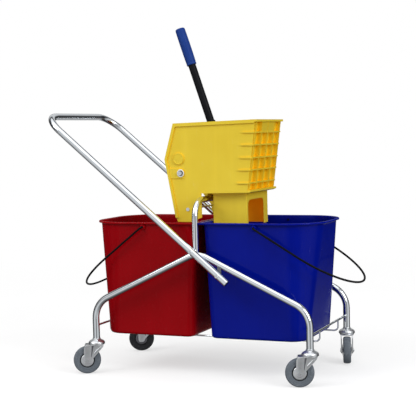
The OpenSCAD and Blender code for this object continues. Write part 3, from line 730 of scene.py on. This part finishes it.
def make_pivot_hardware(s):
    """White nylon washer with a rolled edge, the domed head of the pivot bolt and, between them, a dark ring bead
    that is painted shade in the washer's recess.
    """
    at, axis = pivot("lever_press"), Vector((0, s, 0))
    bm = bmesh.new()
    ring = [(5.1, 139.1), (13.2, 139.1), (14.0, 139.8), (14.0, 141.0), (13.2, 142.0), (11.6, 142.1),
            (10.4, 141.3), (8.6, 141.2), (5.1, 141.2)]
    lathe(bm, in_metres(ring), axis, at, 56, closed=True)
    side = side_name(s)
    new_piece("washer_ring_" + side, bm, "white", "wringer", "white_plastic", "pivot_washers", angle=45)
    bm = bmesh.new()
    head = [(0, 104.0), (5.0, 104.0), (5.0, 142.2), (7.4, 142.2), (7.6, 142.6), (7.4, 144.4), (6.2, 146.0),
            (3.8, 146.9), (0, 147.0)]
    lathe(bm, in_metres(head), axis, at, 48)
    new_piece("pivot_bolt_head_" + side, bm, "bolt", "wringer", "zinc_steel", angle=40)
    # painted shade: a dark ring bead where the washer's recess round the bolt head lies in shade
    ring_bead("pivot_shade_ring_" + side, at + axis * 0.1415, axis, 8.6 * mm, 1.0 * mm, "wringer", "zinc_steel",
              "painted_shade_rubber", 0)


make_pivot_hardware(1)
make_pivot_hardware(-1)

# ------------------------------------------------------------------ wringer

def welded_copy(node):
    """A new mesh from a CAD node's, its flat faces joined, for pieces that replace the node."""
    bm = bmesh.new()
    bm.from_mesh(NODES[node].data)
    bm.transform(NODES[node].matrix_world)
    bmesh.ops.remove_doubles(bm, verts=bm.verts, dist=0.00001)
    bmesh.ops.dissolve_limit(bm, angle_limit=math.radians(0.5), verts=bm.verts, edges=bm.edges)
    return bm


CHAMBER_Y, CHAMBER_Z = 0.136, 0.652


def round_lower_edges(bm):
    """The chamber's lower side edges roll under, as moulded."""
    found = []
    for e in bm.edges:
        a, b = (v.co for v in e.verts)
        low = all(abs(abs(p.y) - CHAMBER_Y) < 1e-4 and abs(p.z - CHAMBER_Z) < 2e-4 for p in (a, b))
        if low and abs(a.x - b.x) > 0.05:
            found.append(e)
    bmesh.ops.bevel(bm, geom=found, offset=0.011, offset_type="OFFSET", segments=6, profile=0.5,
                    affect="EDGES", clamp_overlap=True)


def bevelled(obj, width):
    b = obj.modifiers.new("bevel", "BEVEL")
    b.width, b.segments, b.limit_method = width, 2, "ANGLE"
    b.angle_limit = math.radians(30)
    b.use_clamp_overlap = True
    even = obj.modifiers.new("even", "WEIGHTED_NORMAL")
    even.keep_sharp, even.weight = True, 100


def moulding(name, node, key, body, slot_name, bevel):
    bevelled(new_piece(name, welded_copy(node), key, body, slot_name, node, angle=32), bevel)


def make_body():
    bm = welded_copy("wringer_body")
    round_lower_edges(bm)
    shell = new_piece("wringer_shell", bm, "yellow", "wringer", "yellow_plastic", "wringer_body", angle=32)
    bevelled(shell, 1.1 * mm)


def make_chute():
    """The chute; its inner faces get painted light and shade: a deeper orange and a faint emission glow, standing
    in for light that comes through the thin wall.
    """
    chute = new_piece("chute_shell", welded_copy("drain_chute"), "yellow", "wringer", "yellow_plastic",
                      "drain_chute", angle=32)
    chute.data.materials.append(MAT["yellow_painted_glow"])
    lo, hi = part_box("drain_chute")
    skip = 1.5 * mm
    # faces inside the chute take the painted glow material
    for face in chute.data.polygons:
        x, y, _ = face.center
        inside = lo.x + 1 * mm < x < hi.x - skip and abs(y) < hi.y - skip
        if inside and max(abs(face.normal.x), abs(face.normal.y)) > 0.9:
            face.material_index = 1
    bevelled(chute, 1.6 * mm)


make_body()
make_chute()
moulding("press_plate_shell", "press_plate", "yellow", "press_lever", "yellow_plastic", 1.0 * mm)
moulding("yoke_shell", "press_yoke", "black", "press_lever", "black_enamel", 0.7 * mm)
# painted shade: the handle tabs take the dark shadow zinc, drawn as lying in shadow
moulding("tab_shell", "handle_tabs", "shadow_zinc", "frame", "chromed_tube", 0.5 * mm)


def make_badges():
    """A plain raised ring round the blank boss on each side plate."""
    boss = next(m["pos_m"] for m in frame["record"]["mounts"] if m["name"] == "badge_boss")
    for name, s in (("badge_ring", 1), ("badge_ring_left", -1)):
        centre = (boss[0], s * (boss[1] + 0.4 * mm), boss[2])
        ring_bead(name, centre, (0, 1, 0), 18.5 * mm, 1.2 * mm, "wringer", "yellow_plastic", "yellow", 0)


make_badges()

# ------------------------------------------------------------------ floor, light

FLOOR_RADIUS = 4.0
DRAPE_TOWARDS = (-0.387, 0.920, -0.066)


def make_floor():
    """Pale paper that fades to the backdrop's white at its rim. Only the camera sees it, so it throws
    no light back up at the object."""
    bm = bmesh.new()
    bmesh.ops.create_circle(bm, cap_ends=True, segments=96, radius=FLOOR_RADIUS)
    mesh = bpy.data.meshes.new("floor")
    bm.to_mesh(mesh)
    bm.free()
    floor = bpy.data.objects.new("floor", mesh)
    scene.collection.objects.link(floor)
    s = Shader("floor_paper")
    near = s.node("ShaderNodeTexGradient", gradient_type="SPHERICAL")
    s.link(s.stretched((1 / FLOOR_RADIUS,) * 3), near.inputs["Vector"])
    paper = s.ramp(s.noise(2.5, 3, 0.5), (0.3, (0.40, 0.40, 0.40)), (0.7, (0.42, 0.42, 0.42)))
    s.set(Base_Color=s.mix(s.spread(near.outputs["Fac"], 0.0, 1.0, 0.05, 0.7), (0, 0, 0), paper),
          Roughness=0.9, Specular_IOR_Level=0.0, Emission_Color=(1, 1, 1),
          Emission_Strength=s.spread(near.outputs["Fac"], 1.0, 0.6, 0.05, 0.7))
    floor.data.materials.append(s.mat)
    floor.visible_diffuse = floor.visible_glossy = floor.visible_transmission = floor.visible_shadow = False


def area_light(name, where, aim, size, power):
    data = bpy.data.lights.new(name, "AREA")
    data.shape, data.size, data.size_y, data.energy = "RECTANGLE", *size, power
    lamp = bpy.data.objects.new(name, data)
    scene.collection.objects.link(lamp)
    lamp.location = where
    lamp.rotation_mode = "QUATERNION"
    lamp.rotation_quaternion = (Vector(aim) - Vector(where)).to_track_quat("-Z", "Y")


def make_world():
    """The camera sees white; the object is lit by a studio of pale and dark bands, fixed in the row frame."""
    world = bpy.data.worlds.new("studio")
    scene.world = world
    world.use_nodes = True
    tree = world.node_tree
    tree.nodes.clear()
    new, link = tree.nodes.new, tree.links.new
    seen, lit = new("ShaderNodeBackground"), new("ShaderNodeBackground")
    out, choose, path = new("ShaderNodeOutputWorld"), new("ShaderNodeMixShader"), new("ShaderNodeLightPath")
    where, split = new("ShaderNodeTexCoord"), new("ShaderNodeSeparateXYZ")
    turn = new("ShaderNodeTexGradient")
    height, blend = new("ShaderNodeMapRange"), new("ShaderNodeMix")
    for k, v in (("From Min", -1.0), ("From Max", 1.0)):
        height.inputs[k].default_value = v
    link(where.outputs["Generated"], split.inputs[0])
    link(split.outputs["Z"], height.inputs["Value"])
    turn.gradient_type = "RADIAL"
    link(where.outputs["Generated"], turn.inputs["Vector"])

    def grey_ramp(fac, *stops):
        r = new("ShaderNodeValToRGB")
        while len(r.color_ramp.elements) < len(stops):
            r.color_ramp.elements.new(0.5)
        for e, (p, v) in zip(r.color_ramp.elements, stops):
            e.position, e.color = p, (v, v, v, 1)
        link(fac, r.inputs["Fac"])
        return r.outputs["Color"]

    level = grey_ramp(height.outputs["Result"], (0.0, 0.08), (0.10, 0.25), (0.22, 0.50), (0.38, 0.90),
                      (0.46, 0.10), (0.53, 0.14), (0.60, 0.50), (0.70, 0.95), (0.82, 1.0), (0.90, 0.62),
                      (1.0, 0.70))
    horizon = grey_ramp(height.outputs["Result"], (0.30, 0.0), (0.42, 1.0), (0.56, 1.0), (0.68, 0.0))
    around = grey_ramp(turn.outputs["Fac"], (0.0, 0.20), (0.07, 0.45), (0.13, 0.28), (0.17, 1.0),
                       (0.25, 1.0), (0.29, 0.30), (0.38, 0.36), (0.42, 1.0), (0.50, 1.0), (0.55, 0.50),
                       (0.62, 0.14), (0.70, 0.02), (0.90, 0.02), (0.97, 0.08))
    blend.data_type = "RGBA"
    link(horizon, blend.inputs[0])
    link(level, blend.inputs[6])
    link(around, blend.inputs[7])
    # the side of the studio behind the object is dark, which draws the thin dark edges on the tubes
    facing, drape = new("ShaderNodeVectorMath"), new("ShaderNodeMix")
    facing.operation = "DOT_PRODUCT"
    facing.inputs[1].default_value = DRAPE_TOWARDS
    link(where.outputs["Generated"], facing.inputs[0])
    drape.data_type = "RGBA"
    link(grey_ramp(facing.outputs["Value"], (0.0, 0.0), (0.16, 0.93), (0.55, 0.93), (0.72, 0.15),
                   (1.0, 0.05)), drape.inputs[0])
    link(blend.outputs[2], drape.inputs[6])
    drape.inputs[7].default_value = (0.03, 0.03, 0.035, 1)
    link(drape.outputs[2], lit.inputs["Color"])
    lit.inputs["Strength"].default_value = 0.8
    seen.inputs["Color"].default_value = (1, 1, 1, 1)
    link(path.outputs["Is Camera Ray"], choose.inputs["Fac"])
    link(lit.outputs[0], choose.inputs[1])
    link(seen.outputs[0], choose.inputs[2])
    link(choose.outputs[0], out.inputs["Surface"])


def make_lamps():
    area_light("key", (-2.6, -3.2, 3.4), (0, 0, 0.5), (2.2, 2.2), 60)
    area_light("fill", (3.6, -1.6, 2.2), (0.1, 0, 0.4), (1.6, 2.4), 74)
    sun = bpy.data.lights.new("sky", "SUN")
    sun.energy, sun.angle = 1.25, math.radians(80)
    lamp = bpy.data.objects.new("sky", sun)
    scene.collection.objects.link(lamp)
    lamp.rotation_euler = (math.radians(12), math.radians(-8), 0)


make_floor()
make_world()
make_lamps()
scene.view_settings.view_transform = "Standard"
scene.view_settings.look = "None"
